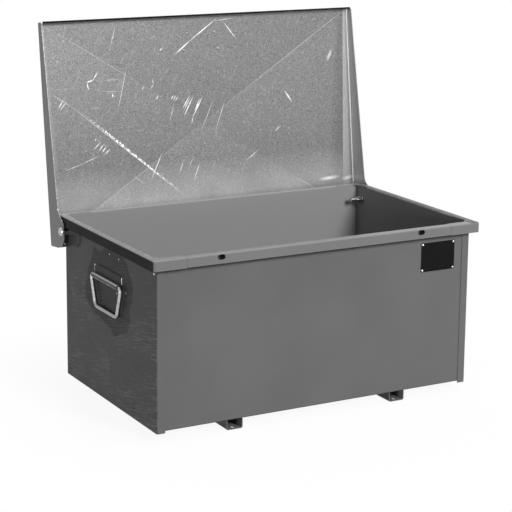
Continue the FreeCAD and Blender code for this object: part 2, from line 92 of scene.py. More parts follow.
def linear(code):
    """Turns an sRGB hex colour into linear red, green, blue and alpha."""
    parts = [int(code[k:k + 2], 16) / 255 for k in (1, 3, 5)]
    return tuple(p / 12.92 if p <= 0.04045 else ((p + 0.055) / 1.055) ** 2.4 for p in parts) + (1.0,)


def colour(name, about, code):
    """A colour that the user may change."""
    return bpy.props.FloatVectorProperty(
        name=name, description=about, default=linear(code), size=4, subtype="COLOR", min=0.0, max=1.0)


def length(name, about, millimetres):
    """A length that the user may change."""
    return bpy.props.FloatProperty(
        name=name, description=about, default=millimetres * MM, unit="LENGTH", min=0.0, precision=4)


def share(name, about, value):
    """A share from none to all that the user may change."""
    return bpy.props.FloatProperty(
        name=name, description=about, default=value, subtype="FACTOR", min=0.0, max=1.0)


def power(name, watts):
    """A lamp's power that the user may change."""
    return bpy.props.FloatProperty(
        name=name, description="Power of this lamp in watts", default=watts, min=0.0, unit="POWER")


class SiteBoxFinish(bpy.types.PropertyGroup):
    """Colours and grain sizes of the box's finishes"""
    coat: colour("Powder coat", "Colour of the powder coat on the sheet", "#6e6e6f")
    coat_light: colour("Powder coat, light", "The coat where it lies thinner", "#727273")
    # The inner coat is painted lighter, as painted bounce light inside the box
    coat_inside_painted_light: colour("Inner coat", "Colour of the cleaner powder coat inside the box", "#919192")
    # This pale colour serves real drag marks, dust and rubbed edges, and also the painted light on the rim's
    # top and front and the painted highlight on the rolled eyes
    coat_streak_and_painted_light: colour("Coat streaks", "Dust, drag marks and rubbed edges of the coat", "#a8a8a8")
    # This dark colour serves the darkening round the handles, the knocks on the right rim, and the painted
    # shade on the rim's ends
    coat_grime_and_shade: colour("Handled coat", "The coat where hands and the lid have darkened it", "#333334")
    coat_rough: share("Coat roughness", "Roughness of the powder coat", 0.22)
    peel: length("Orange peel", "Width of the powder coat's waves", 3.0)
    clouds: length("Coat clouds", "Width of the coat's slow changes in tone", 160.0)
    sheet: colour("Galvanised sheet", "Colour of the zinc coat on the lid", "#595959")
    sheet_light: colour("Galvanised sheet, light", "The zinc coat's lighter grains", "#757575")
    sheet_outside: colour("Weathered sheet", "The zinc coat outside, dulled by weather", "#7d7d7d")
    # This light colour is painted light: the glints, the painted highlight on the folds, the painted light on
    # the cheeks and heel, and the painted reflection beside the cheeks
    painted_light: colour("Rubbed sheet", "The lid's edges, rubbed bright by the rim", "#dcdcdc")
    # The scuff colour also paints two strokes of painted highlight where glare falls near the pivot
    scuff_and_glare: colour("Scuffs", "Bright metal in the scratches on the lid", "#f4f4f4")
    sheet_rough: share("Sheet roughness", "Roughness of the galvanised sheet", 0.45)
    grain: length("Sheet grain", "Width of the galvanised sheet's fine grain", 2.8)
    spangle: length("Spangle", "Width of the zinc crystals", 5.0)
    plating: colour("Zinc plate", "Colour of the plated wire, bolts and rivets", "#b6b8ba")
    plating_dull: colour("Zinc plate, dull", "The plating where gloves and weather dull it", "#707274")
    rubber: colour("Edge rubber", "Colour of the lid's edge trim", "#080808")
    plate: colour("Rating plate", "Colour of the bare anodised plate", "#070707")
    thread_pitch: length("Thread pitch", "Pitch of the pivot bolts' thread", 1.75)
    thread_height: length("Thread height", "How far the thread stands off the bolt", 0.45)
    weld_width: length("Weld spots", "Width of the weld spots on the ends of the box", 5.0)


class SiteBoxStage(bpy.types.PropertyGroup):
    """Sizes and light of the studio"""
    floor_half: length("Floor", "Half the width of the studio floor", 30000.0)
    lens: bpy.props.FloatProperty(
        name="Lens", description="Focal length on a 36 mm sensor, in millimetres", default=122.92, min=10.0)
    main_power: power("Main lamp", 426.0)
    side_power: power("Side lamps", 42.0)
    top_power: power("Top lamp", 110.0)
    rear_power: power("Rear lamp", 110.0)
    ambient: share("Room light", "Light that the walls of the studio give back", 0.12)


def node(tree, kind, inputs=None, **settings):
    """Adds one node with its settings, sets or links its inputs, and gives its outputs."""
    made = tree.nodes.new("ShaderNode" + kind)
    for key, value in settings.items():
        setattr(made, key, value)
    for key, value in (inputs or {}).items():
        if isinstance(value, bpy.types.NodeSocket):
            tree.links.new(value, made.inputs[key])
        else:
            made.inputs[key].default_value = value
    return made.outputs


def start_finish(name):
    """A new material with an empty tree, and its coordinates."""
    finish = bpy.data.materials.new(name)
    finish.use_nodes = True
    finish.node_tree.nodes.clear()
    return finish, finish.node_tree, node(finish.node_tree, "TexCoord")


def end_finish(tree, inputs):
    """Closes a finish with one shader."""
    shader = node(tree, "BsdfPrincipled", inputs)
    node(tree, "OutputMaterial", {"Surface": shader["BSDF"]})


def dress(names, finish):
    """Gives CAD nodes their finish."""
    for name in names:
        mesh = nodes[name].data
        mesh.materials.clear()
        mesh.materials.append(finish)


def end_marks(tree, place, height, patches):
    """The share of pale drag marks and splashes on the ends of the box."""
    # Drag marks about 50 mm long and 3 mm apart, aslant, mostly below the handles
    slanted = node(tree, "Mapping", {"Vector": place, "Rotation": (math.radians(-12), 0.0, 0.0),
                   "Scale": (1.0, 50 * MM, 3 * MM)}, vector_type="TEXTURE")["Vector"]
    drags = node(tree, "TexNoise", {"Vector": slanted, "Scale": 1.0, "Detail": 3.0})["Fac"]
    drags = node(tree, "MapRange", {"Value": drags, "From Min": 0.48, "From Max": 0.66})["Result"]
    where = node(tree, "MapRange", {"Value": patches, "From Min": 0.42, "From Max": 0.58,
                 "To Min": 0.03, "To Max": 0.7})["Result"]
    drags = node(tree, "Math", {0: drags, 1: where}, operation="MULTIPLY")[0]
    under = node(tree, "MapRange", {"Value": height, "From Min": 340 * MM, "From Max": 260 * MM,
                 "To Min": 0.3})["Result"]
    drags = node(tree, "Math", {0: drags, 1: under}, operation="MULTIPLY")[0]
    # Splashes, about 1 mm wide and drawn about 3 by 6 mm so that they show, thicker towards the floor
    steep = node(tree, "Mapping", {"Vector": place, "Rotation": (math.radians(-45), 0.0, 0.0),
                 "Scale": (1.0, 18 * MM, 8 * MM)}, vector_type="TEXTURE")["Vector"]
    cells = node(tree, "TexVoronoi", {"Vector": steep, "Scale": 1.0})["Distance"]
    dust = node(tree, "MapRange", {"Value": cells, "From Min": 0.24, "From Max": 0.1})["Result"]
    low = node(tree, "MapRange", {"Value": height, "From Min": 320 * MM, "From Max": 140 * MM,
               "To Max": 0.6})["Result"]
    dust = node(tree, "Math", {0: dust, 1: low}, operation="MULTIPLY")[0]
    return node(tree, "Math", {0: drags, 1: dust}, operation="MAXIMUM")[0]


def end_darkening_and_shade(tree, place, apart, patches):
    """The share of darkening round the drop handles and of painted shade on the rim's ends."""
    near = node(tree, "Mapping", {"Vector": place, "Location": (0.0, 0.0, EYE.z - 20 * MM),
                "Scale": (100.0, 170 * MM, 130 * MM)}, vector_type="TEXTURE")["Vector"]
    handle_dark = node(tree, "TexGradient", {"Vector": near}, gradient_type="SPHERICAL")["Fac"]
    handle_dark = node(tree, "Math", {0: patches, 1: 0.9, 2: handle_dark}, operation="MULTIPLY_ADD")[0]
    handle_dark = node(tree, "MapRange", {"Value": handle_dark, "From Min": 0.6, "From Max": 0.68,
                  "To Max": HANDLE_DARKENING})["Result"]
    # The rim's ends, beside the closed lid, darkened as painted shade
    beside = node(tree, "Math", {0: apart["Z"], 1: RIM_SHADE_FOOT}, operation="GREATER_THAN")[0]
    proud = node(tree, "Math", {0: apart["X"], 1: WALL + 10 * MM}, operation="GREATER_THAN")[0]
    beside = node(tree, "Math", {0: beside, 1: proud}, operation="MULTIPLY")[0]
    beside = node(tree, "Math", {0: beside, 1: RIM_PAINTED_SHADE}, operation="MULTIPLY")[0]
    return node(tree, "Math", {0: handle_dark, 1: beside}, operation="MAXIMUM")[0]


def bare_eyes_and_highlights(tree, half, apart, lean):
    """The share of bare metal on the rolled eyes, brightest along the top and the bottom of the roll as a
    painted highlight.
    """
    roll = node(tree, "VectorMath", {0: half, 1: (1.0, 0.0, 1.0)}, operation="MULTIPLY")["Vector"]
    roll = node(tree, "VectorMath", {0: roll, 1: (EYE.x, 0.0, EYE.z)}, operation="DISTANCE")["Value"]
    roll = node(tree, "Math", {0: roll, 1: EYE_REACH}, operation="LESS_THAN")[0]
    off_wall = node(tree, "Math", {0: apart["X"], 1: WALL + 0.3 * MM}, operation="GREATER_THAN")[0]
    roll = node(tree, "Math", {0: roll, 1: off_wall}, operation="MULTIPLY")[0]
    # The top and bottom of the roll, where light falls, are painted brightest as a painted highlight
    highlight_ridge = node(tree, "MapRange", {"Value": lean["Z"], "From Min": 0.25, "From Max": 0.85,
                 "To Min": 0.15})["Result"]
    return node(tree, "Math", {0: roll, 1: highlight_ridge}, operation="MULTIPLY")[0]


def rubbed_edges_and_lit_rim(tree, place, half, apart, lean, patches):
    """The shares of rubbed edges and of rim faces painted lighter as painted light, and of knocks on the top
    of the right rim.
    """
    # The upright corners, and the outer edge of the rim
    near_corner = node(tree, "VectorMath", {0: half, 1: (1 / WALL, 1 / HALF_DEPTH, 1 / RIM_TOP)},
                       operation="MULTIPLY")["Vector"]
    near_corner = node(tree, "SeparateXYZ", {"Vector": near_corner})
    corner = node(tree, "Math", {0: near_corner["X"], 1: near_corner["Y"]}, operation="MINIMUM")[0]
    reach = node(tree, "VectorMath", {0: half, 1: (-1 / RIM_LOW[0], -1 / RIM_LOW[1], 0.0)},
                 operation="MULTIPLY")["Vector"]
    reach = node(tree, "SeparateXYZ", {"Vector": reach})
    rim = node(tree, "Math", {0: reach["X"], 1: reach["Y"]}, operation="MAXIMUM")[0]
    rim = node(tree, "Math", {0: rim, 1: near_corner["Z"]}, operation="MINIMUM")[0]
    edge = node(tree, "Math", {0: corner, 1: rim}, operation="MAXIMUM")[0]
    edge = node(tree, "MapRange", {"Value": edge, "From Min": 0.992, "From Max": 0.997,
                "To Max": EDGE_RUB})["Result"]
    below = node(tree, "Math", {0: apart["Z"], 1: RIM_TOP + MM}, operation="LESS_THAN")[0]
    edge = node(tree, "Math", {0: edge, 1: below}, operation="MULTIPLY")[0]
    worn = node(tree, "MapRange", {"Value": patches, "From Min": 0.4, "From Max": 0.6,
                "To Min": 0.3})["Result"]
    edge = node(tree, "Math", {0: edge, 1: worn}, operation="MULTIPLY")[0]
    # The top of the rim, except on the right, painted lighter as painted light
    top = node(tree, "Math", {0: near_corner["Z"], 1: 0.997}, operation="GREATER_THAN")[0]
    level = node(tree, "Math", {0: lean["Z"], 1: 0.7}, operation="GREATER_THAN")[0]
    top = node(tree, "Math", {0: top, 1: level}, operation="MULTIPLY")[0]
    top = node(tree, "Math", {0: top, 1: below}, operation="MULTIPLY")[0]
    across = node(tree, "SeparateXYZ", {"Vector": place})["X"]
    painted_light = node(tree, "MapRange", {"Value": across, "From Min": RIGHT_RIM + 5 * MM,
                  "From Max": RIGHT_RIM - 5 * MM, "To Max": RIM_TOP_PAINTED_LIGHT})["Result"]
    painted_light = node(tree, "Math", {0: top, 1: painted_light}, operation="MULTIPLY")[0]
    edge = node(tree, "Math", {0: edge, 1: painted_light}, operation="MAXIMUM")[0]
    # The front of the rim, painted a little lighter as painted light
    lit_rim_front = node(tree, "Math", {0: reach["Y"], 1: 0.995}, operation="GREATER_THAN")[0]
    lit_rim_front = node(tree, "Math", {0: lit_rim_front, 1: below}, operation="MULTIPLY")[0]
    lit_rim_front = node(tree, "Math", {0: lit_rim_front, 1: RIM_FRONT_PAINTED_LIGHT}, operation="MULTIPLY")[0]
    edge = node(tree, "Math", {0: edge, 1: lit_rim_front}, operation="MAXIMUM")[0]
    # The top of the right rim is knocked and grimy instead, in patches of about 14 mm
    knocks = node(tree, "TexNoise", {"Vector": place, "Scale": 1 / (14 * MM), "Detail": 3.0})["Fac"]
    knocks = node(tree, "MapRange", {"Value": knocks, "From Min": 0.4, "From Max": 0.6,
                  "To Max": KNOCKS})["Result"]
    on_right = node(tree, "Math", {0: across, 1: RIGHT_RIM}, operation="GREATER_THAN")[0]
    knocks = node(tree, "Math", {0: knocks, 1: on_right}, operation="MULTIPLY")[0]
    knocks = node(tree, "Math", {0: knocks, 1: top}, operation="MULTIPLY")[0]
    return edge, knocks


def powder_coat(look):
    """Grey polyester powder, baked on folded steel sheet.

    It flows out into fine waves, so it is glossy but mirrors softly, and its tone drifts a little.
    It is darker round the handles, the rim's ends are darkened as painted shade, and inside the box it is
    painted lighter as painted bounce light. The ends of the box carry pale drag marks and dust, and edges are
    rubbed paler; the rim's top and front are painted lighter as painted light, and the rolled eyes are bare
    with a painted highlight.
    """
    finish, tree, coordinates = start_finish("Grey powder coat")
    place, normal = coordinates["Object"], coordinates["Normal"]
    clouds = node(tree, "TexNoise", {"Vector": place, "Scale": 1 / look.clouds, "Detail": 4.0})["Fac"]
    patches = node(tree, "TexNoise", {"Vector": place, "Scale": 1 / (110 * MM), "Detail": 2.0})["Fac"]
    # Powder grains are about 0.05 mm wide, and the specks are drawn at 6 mm so that they show
    specks = node(tree, "TexNoise", {"Vector": place, "Scale": 1 / (2 * look.peel), "Detail": 3.0})["Fac"]
    waves = node(tree, "TexNoise", {"Vector": place, "Scale": 1 / look.peel, "Detail": 1.0})["Fac"]
    tone = node(tree, "MapRange", {"Value": clouds, "From Min": 0.35, "From Max": 0.65})["Result"]
    base = node(tree, "Mix", {0: tone, 6: look.coat, 7: look.coat_light}, data_type="RGBA")[2]
    # Faces that look towards the box's middle are inside it, and those that look away are outside.
    # The pull to the middle is about one at each wall
    pull = node(tree, "VectorMath", {0: place, 1: (-2.2, -3.6, 0.0)}, operation="MULTIPLY")["Vector"]
    turn = node(tree, "VectorMath", {0: pull, 1: normal}, operation="DOT_PRODUCT")["Value"]
    inside = node(tree, "Math", {0: turn, 1: 0.5}, operation="GREATER_THAN")[0]
    # Faces inside the box take the lighter inner coat, as painted bounce light
    base = node(tree, "Mix", {0: inside, 6: base, 7: look.coat_inside_painted_light}, data_type="RGBA")[2]
    # The outer faces of the two ends
    lean = node(tree, "VectorMath", {0: normal}, operation="ABSOLUTE")["Vector"]
    lean = node(tree, "SeparateXYZ", {"Vector": lean})
    ends = node(tree, "Math", {0: lean["X"], 1: 0.7}, operation="GREATER_THAN")[0]
    outside = node(tree, "Math", {0: turn, 1: -0.5}, operation="LESS_THAN")[0]
    ends = node(tree, "Math", {0: ends, 1: outside}, operation="MULTIPLY")[0]
    half = node(tree, "VectorMath", {0: place}, operation="ABSOLUTE")["Vector"]
    apart = node(tree, "SeparateXYZ", {"Vector": half})
    marks = end_marks(tree, place, apart["Z"], patches)
    marks = node(tree, "Math", {0: marks, 1: ends}, operation="MULTIPLY")[0]
    base = node(tree, "Mix", {0: marks, 6: base, 7: look.coat_streak_and_painted_light}, data_type="RGBA")[2]
    darkening_and_shade = end_darkening_and_shade(tree, place, apart, patches)
    darkening_and_shade = node(tree, "Math", {0: darkening_and_shade, 1: ends}, operation="MULTIPLY")[0]
    base = node(tree, "Mix", {0: darkening_and_shade, 6: base, 7: look.coat_grime_and_shade}, data_type="RGBA")[2]
    roll = bare_eyes_and_highlights(tree, half, apart, lean)
    edge, knocks = rubbed_edges_and_lit_rim(tree, place, half, apart, lean, patches)
    # Rubbed edges, together with the painted light on the rim's top and front and the painted highlight on
    # the rolled eyes
    edge = node(tree, "Math", {0: edge, 1: roll}, operation="MAXIMUM")[0]
    base = node(tree, "Mix", {0: edge, 6: base, 7: look.coat_streak_and_painted_light}, data_type="RGBA")[2]
    base = node(tree, "Mix", {0: knocks, 6: base, 7: look.coat_grime_and_shade}, data_type="RGBA")[2]
    rough = node(tree, "MapRange", {"Value": specks, "From Min": 0.3, "From Max": 0.7,
                 "To Min": look.coat_rough - 0.03, "To Max": look.coat_rough + 0.04})["Result"]
    rough = node(tree, "Math", {0: marks, 1: 0.3, 2: rough}, operation="MULTIPLY_ADD")[0]
    bump = node(tree, "Bump", {"Height": waves, "Strength": 0.05, "Distance": 0.05 * MM})["Normal"]
    # The darkening round the handles and the painted shade on the rim's ends also take the gloss away
    gloss = node(tree, "MapRange", {"Value": darkening_and_shade, "From Max": 0.8, "To Min": 0.035,
                 "To Max": 0.01})["Result"]
    end_finish(tree, {"Base Color": base, "Roughness": rough, "Normal": bump, "Specular IOR Level": gloss,
                      "Metallic": roll})
    return finish


# Scuffs on the lid, and two strokes of painted highlight where glare falls: start across and up the lid, end
# across and up, half width, in mm, and strength share
SCUFFS_AND_GLARE = (
    (-414, 336, -431, 314, 1.5, 0.7), (-404, 331, -426, 310, 1.3, 0.5), (-345, 379, -326, 383, 2.2, 0.8),
    (-326, 383, -310, 405, 1.6, 0.6), (-343, 376, -340, 359, 2.0, 0.7), (-225, 414, -257, 299, 1.3, 0.4),
    (-272, 465, -254, 522, 2.5, 0.2), (-447, 354, -387, 313, 2.0, 0.15), (-313, 217, -335, 200, 1.4, 0.7),
    (-305, 211, -319, 195, 1.5, 0.8), (-298, 204, -311, 190, 1.6, 0.9), (-288, 196, -303, 184, 1.6, 0.8),
    (-326, 228, -330, 221, 1.6, 0.6), (-424, 148, -370, 164, 1.3, 0.4), (-370, 164, -320, 181, 1.3, 0.45),
    (-89, 329, -97, 318, 1.6, 0.8), (-83, 327, -90, 315, 1.6, 0.7), (-77, 324, -84, 313, 1.5, 0.6),
    (-135, 330, -142, 320, 1.6, 0.7), (-178, 357, -182, 350, 1.6, 0.6), (-42, 322, -63, 290, 1.7, 0.8),
    (-31, 320, -58, 272, 1.8, 0.9), (-38, 320, -60, 283, 1.5, 0.6), (-3, 316, -32, 267, 2.0, 0.9),
    (-10, 314, -25, 284, 1.7, 0.8), (-32, 267, -38, 245, 2.0, 0.5), (-89, 304, -104, 258, 1.4, 0.4),
    (-151, 377, -148, 361, 1.8, 0.4), (-148, 361, -157, 350, 1.8, 0.4), (-133, 174, -169, 105, 1.5, 0.6),
    (-70, 144, -84, 115, 1.5, 0.5), (-36, 159, -55, 125, 1.4, 0.35), (-20, 138, -40, 92, 1.5, 0.5),
    (-219, 117, -195, 97, 1.5, 0.3), (-77, 441, -34, 473, 2.2, 0.8), (-34, 473, 46, 527, 2.0, 0.7),
    (52, 525, 99, 529, 1.6, 0.4), (74, 518, 108, 475, 1.6, 0.7), (259, 318, 279, 288, 3.2, 0.6),
    (400, 396, 416, 426, 6.0, 0.35), (241, 222, 221, 207, 1.6, 0.5), (166, 159, 126, 132, 1.5, 0.5),
    # The two wide strokes near the pivot, from 363 to 472 mm across, are a painted highlight, not scuffs
    (67, 302, 36, 224, 1.4, 0.4), (34, 311, -8, 228, 1.4, 0.4), (363, 59, 421, 62, 7.0, 0.6),
    (437, 54, 472, 59, 7.0, 0.6), (-125, 451, -118, 458, 2.0, 0.5), (-270, 345, -271, 335, 2.4, 0.7),
    (-294, 381, -245, 381, 3.0, 0.12), (-299, 352, -247, 348, 2.5, 0.15), (-387, 313, -77, 56, 1.2, 0.5),
)
# The worn creases of the cross-break, in the same terms
CREASES = (
    (640, 648, 0, 248, 1.2, 0.26), (0, 248, -468, -44, 1.1, 0.12), (-120, 323, -468, 541, 1.2, 0.17),
    (280, 75, 360, 25, 1.5, 0.15),
)
# The long dotted drag mark on the lid, in the same terms
DRAG = (-335, 276, -105, 82, 4.2, 1.1)
# A stroke fades towards its ends and sides, so it is drawn longer and stronger than its table says
STROKE_REACH, STROKE_GAIN = 0.65, 1.4


def one_scuff(tree, sheet_place, mark):
    """A soft stroke on the lid, strongest in its middle, and the place along it."""
    x0, v0, x1, v1, half_width, strength = mark
    run = math.hypot(x1 - x0, v1 - v0)
    along = node(tree, "Mapping", {
        "Vector": sheet_place, "Location": ((x0 + x1) / 2 * MM, LID_PLANE, (v0 + v1) / 2 * MM),
        "Rotation": (0.0, -math.atan2(v1 - v0, x1 - x0), 0.0),
        "Scale": (STROKE_REACH * run * MM, 1.0, half_width * MM)}, vector_type="TEXTURE")["Vector"]
    stroke = node(tree, "TexGradient", {"Vector": along}, gradient_type="SPHERICAL")["Fac"]
    return node(tree, "Math", {0: stroke, 1: STROKE_GAIN * strength}, operation="MULTIPLY")[0], along


def scuffs_and_glare_on_lid(tree, sheet_place, fine):
    """The share of all the scuffs, the painted glare highlights, creases and hairlines and the drag mark
    together.
    """
    drag, along = one_scuff(tree, sheet_place, DRAG)
    # Uneven strokes across the mark, about 6.5 mm apart
    along = node(tree, "Mapping", {"Vector": along, "Rotation": (0.0, 0.3, 0.0),
                 "Scale": (30.0, 1.0, 0.8)})["Vector"]
    beat = node(tree, "TexNoise", {"Vector": along, "Scale": 1.0, "Detail": 2.0})["Fac"]
    beat = node(tree, "MapRange", {"Value": beat, "From Min": 0.47, "From Max": 0.58,
                "To Min": 0.05})["Result"]
    total = node(tree, "Math", {0: drag, 1: beat}, operation="MULTIPLY")[0]
    for mark in SCUFFS_AND_GLARE + CREASES:
        stroke = one_scuff(tree, sheet_place, mark)[0]
        total = node(tree, "Math", {0: total, 1: stroke}, operation="MAXIMUM")[0]
    # Faint steep hairlines from sliding tools, about 90 mm long and 2.5 mm apart
    turned = node(tree, "Mapping", {"Vector": sheet_place, "Rotation": (0.0, math.radians(-66), 0.0),
                  "Scale": (90 * MM, 1.0, 2.5 * MM)}, vector_type="TEXTURE")["Vector"]
    hair = node(tree, "TexNoise", {"Vector": turned, "Scale": 1.0, "Detail": 2.0})["Fac"]
    hair = node(tree, "MapRange", {"Value": hair, "From Min": 0.62, "From Max": 0.85,
                "To Max": 0.2})["Result"]
    total = node(tree, "Math", {0: total, 1: hair}, operation="MAXIMUM")[0]
    # The grain breaks every mark up
    broken = node(tree, "MapRange", {"Value": fine, "From Min": 0.3, "From Max": 0.6,
                  "To Min": 0.4})["Result"]
    return node(tree, "Math", {0: total, 1: broken}, operation="MULTIPLY", use_clamp=True)[0]


def painted_light_in_tray(tree, on_lid, across, away, stains):
    """The share of painted light, painted highlight and painted reflection in the lid's tray, and the tray
    itself as a share.
    """
    where = node(tree, "SeparateXYZ", {"Vector": on_lid})
    beside = node(tree, "Math", {0: across}, operation="ABSOLUTE")[0]
    # A strip of painted reflection of the cheek beside each cheek, about 37 mm wide at the rear and 14 mm at
    # the front, stronger on the right
    start = node(tree, "Math", {0: where["Z"], 1: STRIP_TAPER, 2: STRIP_START}, operation="MULTIPLY_ADD")[0]
    reflection_strip = node(tree, "Math", {0: beside, 1: start}, operation="SUBTRACT")[0]
    reflection_strip = node(tree, "MapRange", {"Value": reflection_strip, "From Max": 1.5 * MM, "To Max": STRIP_PAINTED_REFLECTION})["Result"]
    stronger = node(tree, "MapRange", {"Value": across, "From Min": -100 * MM, "From Max": 100 * MM,
                    "To Min": 0.15})["Result"]
    reflection_strip = node(tree, "Math", {0: reflection_strip, 1: stronger}, operation="MULTIPLY")[0]
    # The heel of the tray, painted lighter in patches as painted light
    lit_heel = node(tree, "MapRange", {"Value": where["Z"], "From Min": HEEL_FRONT, "From Max": HEEL_REAR,
                "To Max": HEEL_PAINTED_LIGHT})["Result"]
    patchy = node(tree, "Math", {0: stains, 1: 0.4}, operation="ADD")[0]
    lit_heel = node(tree, "Math", {0: lit_heel, 1: patchy}, operation="MULTIPLY")[0]
    painted_light_band = node(tree, "Math", {0: reflection_strip, 1: lit_heel}, operation="MAXIMUM")[0]
    tray = node(tree, "Math", {0: away, 1: -0.3}, operation="LESS_THAN")[0]
    within = node(tree, "Math", {0: beside, 1: CHEEK_FACE}, operation="LESS_THAN")[0]
    tray = node(tree, "Math", {0: tray, 1: within}, operation="MULTIPLY")[0]
    painted_light_band = node(tree, "Math", {0: painted_light_band, 1: tray}, operation="MULTIPLY")[0]
    # A painted highlight on the rounded folds up to the cheeks
    fold_highlight = node(tree, "MapRange", {"Value": beside, "From Min": FOLD_START, "From Max": FOLD_END})["Result"]
    rounded = node(tree, "Math", {0: away, 1: -0.1}, operation="LESS_THAN")[0]
    fold_highlight = node(tree, "Math", {0: fold_highlight, 1: rounded}, operation="MULTIPLY")[0]
    fold_highlight = node(tree, "Math", {0: fold_highlight, 1: within}, operation="MULTIPLY")[0]
    return node(tree, "Math", {0: painted_light_band, 1: fold_highlight}, operation="MAXIMUM")[0], tray


def lid_sheet(look):
    """Hot-dip galvanised sheet, folded and left bare.

    The zinc is a dull mirror with fine grain, and single crystals are painted lighter as glints. Tools
    scratch it bright, and weather dulls its outside. Its folds carry a painted highlight, its cheeks and rear
    edge painted light, and the strips beside the cheeks a painted reflection.
    """
    finish, tree, coordinates = start_finish("Hot-dip galvanised sheet")
    place = coordinates["Object"]
    on_lid = node(tree, "Mapping", {"Vector": place, "Location": LID_PIVOT,
                  "Rotation": (-LID_LEAN, 0.0, 0.0)}, vector_type="TEXTURE")["Vector"]
    # The grain is about 1 mm and drawn at 2.8 mm so that it shows
    fine = node(tree, "TexNoise", {"Vector": place, "Scale": 1 / look.grain, "Detail": 3.0})["Fac"]
    stains = node(tree, "TexNoise", {"Vector": place, "Scale": 1 / (90 * MM), "Detail": 3.0})["Fac"]
    tone = node(tree, "MapRange", {"Value": fine, "From Min": 0.36, "From Max": 0.64})["Result"]
    zinc = node(tree, "Mix", {0: tone, 6: look.sheet, 7: look.sheet_light}, data_type="RGBA")[2]
    # The glints are painted highlights: random crystals lightened towards the painted light colour
    crystals = node(tree, "TexVoronoi", {"Vector": place, "Scale": 1 / look.spangle})["Color"]
    glints = node(tree, "MapRange", {"Value": crystals, "From Min": 0.75, "From Max": 0.9,
                  "To Max": 0.07})["Result"]
    zinc = node(tree, "Mix", {0: glints, 6: zinc, 7: look.painted_light}, data_type="RGBA")[2]
    # Faces that look away from the tray are outside, and faces that look across it are the cheeks
    across = node(tree, "SeparateXYZ", {"Vector": place})["X"]
    normal = node(tree, "SeparateXYZ", {"Vector": coordinates["Normal"]})["X"]
    outward = node(tree, "Math", {0: normal, 1: across}, operation="MULTIPLY")[0]
    away = node(tree, "VectorMath", {0: coordinates["Normal"],
                1: (0.0, math.cos(LID_LEAN), -math.sin(LID_LEAN))}, operation="DOT_PRODUCT")["Value"]
    outside = node(tree, "Math", {0: outward, 1: 0.2}, operation="GREATER_THAN")[0]
    behind = node(tree, "Math", {0: away, 1: 0.4}, operation="GREATER_THAN")[0]
    outside = node(tree, "Math", {0: outside, 1: behind}, operation="MAXIMUM")[0]
    outside = node(tree, "Math", {0: outside, 1: WEATHER}, operation="MULTIPLY")[0]
    zinc = node(tree, "Mix", {0: outside, 6: zinc, 7: look.sheet_outside}, data_type="RGBA")[2]
    # Painted reflection beside the cheeks, painted light on the heel, and a painted highlight on the folds
    painted_light_band, tray = painted_light_in_tray(tree, on_lid, across, away, stains)
    # The cheeks' inner faces are painted lighter, as painted light
    lit_cheek = node(tree, "Math", {0: outward, 1: -0.3}, operation="LESS_THAN")[0]
    lit_cheek = node(tree, "Math", {0: lit_cheek, 1: CHEEK_PAINTED_LIGHT}, operation="MULTIPLY")[0]
    painted_light_band = node(tree, "Math", {0: painted_light_band, 1: lit_cheek}, operation="MAXIMUM")[0]
    zinc = node(tree, "Mix", {0: painted_light_band, 6: zinc, 7: look.painted_light}, data_type="RGBA")[2]
    marks = node(tree, "Math", {0: scuffs_and_glare_on_lid(tree, on_lid, fine), 1: tray}, operation="MULTIPLY")[0]
    zinc = node(tree, "Mix", {0: marks, 6: zinc, 7: look.scuff_and_glare}, data_type="RGBA")[2]
    rough = node(tree, "MapRange", {"Value": tone, "To Min": look.sheet_rough + 0.05,
                 "To Max": look.sheet_rough - 0.05})["Result"]
    rough = node(tree, "Math", {0: outside, 1: 0.35, 2: rough}, operation="MULTIPLY_ADD")[0]
    bump = node(tree, "Bump", {"Height": fine, "Strength": 0.25, "Distance": 0.06 * MM})["Normal"]
    end_finish(tree, {"Base Color": zinc, "Metallic": 1.0, "Roughness": rough, "Normal": bump})
    return finish


def zinc_plating(look):
    """Electroplated zinc on drawn wire and turned fasteners.

    A soft mirror, clouded by handling, and duller on the grips, where gloves rub.
    """
    finish, tree, coordinates = start_finish("Bright zinc plate")
    place = coordinates["Object"]
    clouds = node(tree, "TexNoise", {"Vector": place, "Scale": 1 / (9 * MM), "Detail": 4.0})["Fac"]
    fine = node(tree, "TexNoise", {"Vector": place, "Scale": 1 / (0.8 * MM), "Detail": 2.0})["Fac"]
    height = node(tree, "SeparateXYZ", {"Vector": place})["Z"]
    grip = node(tree, "MapRange", {"Value": height, "From Min": EYE.z - 66 * MM, "From Max": EYE.z - 73 * MM,
                "To Max": 0.7})["Result"]
    dull = node(tree, "MapRange", {"Value": clouds, "From Min": 0.6, "From Max": 0.35,
                "To Max": 0.4})["Result"]
    dull = node(tree, "Math", {0: dull, 1: grip}, operation="MAXIMUM")[0]
    base = node(tree, "Mix", {0: dull, 6: look.plating, 7: look.plating_dull}, data_type="RGBA")[2]
    rough = node(tree, "MapRange", {"Value": clouds, "From Min": 0.3, "From Max": 0.7,
                 "To Min": 0.17, "To Max": 0.27})["Result"]
    bump = node(tree, "Bump", {"Height": fine, "Strength": 0.1, "Distance": 0.02 * MM})["Normal"]
    end_finish(tree, {"Base Color": base, "Metallic": 1.0, "Roughness": rough, "Normal": bump})
    return finish


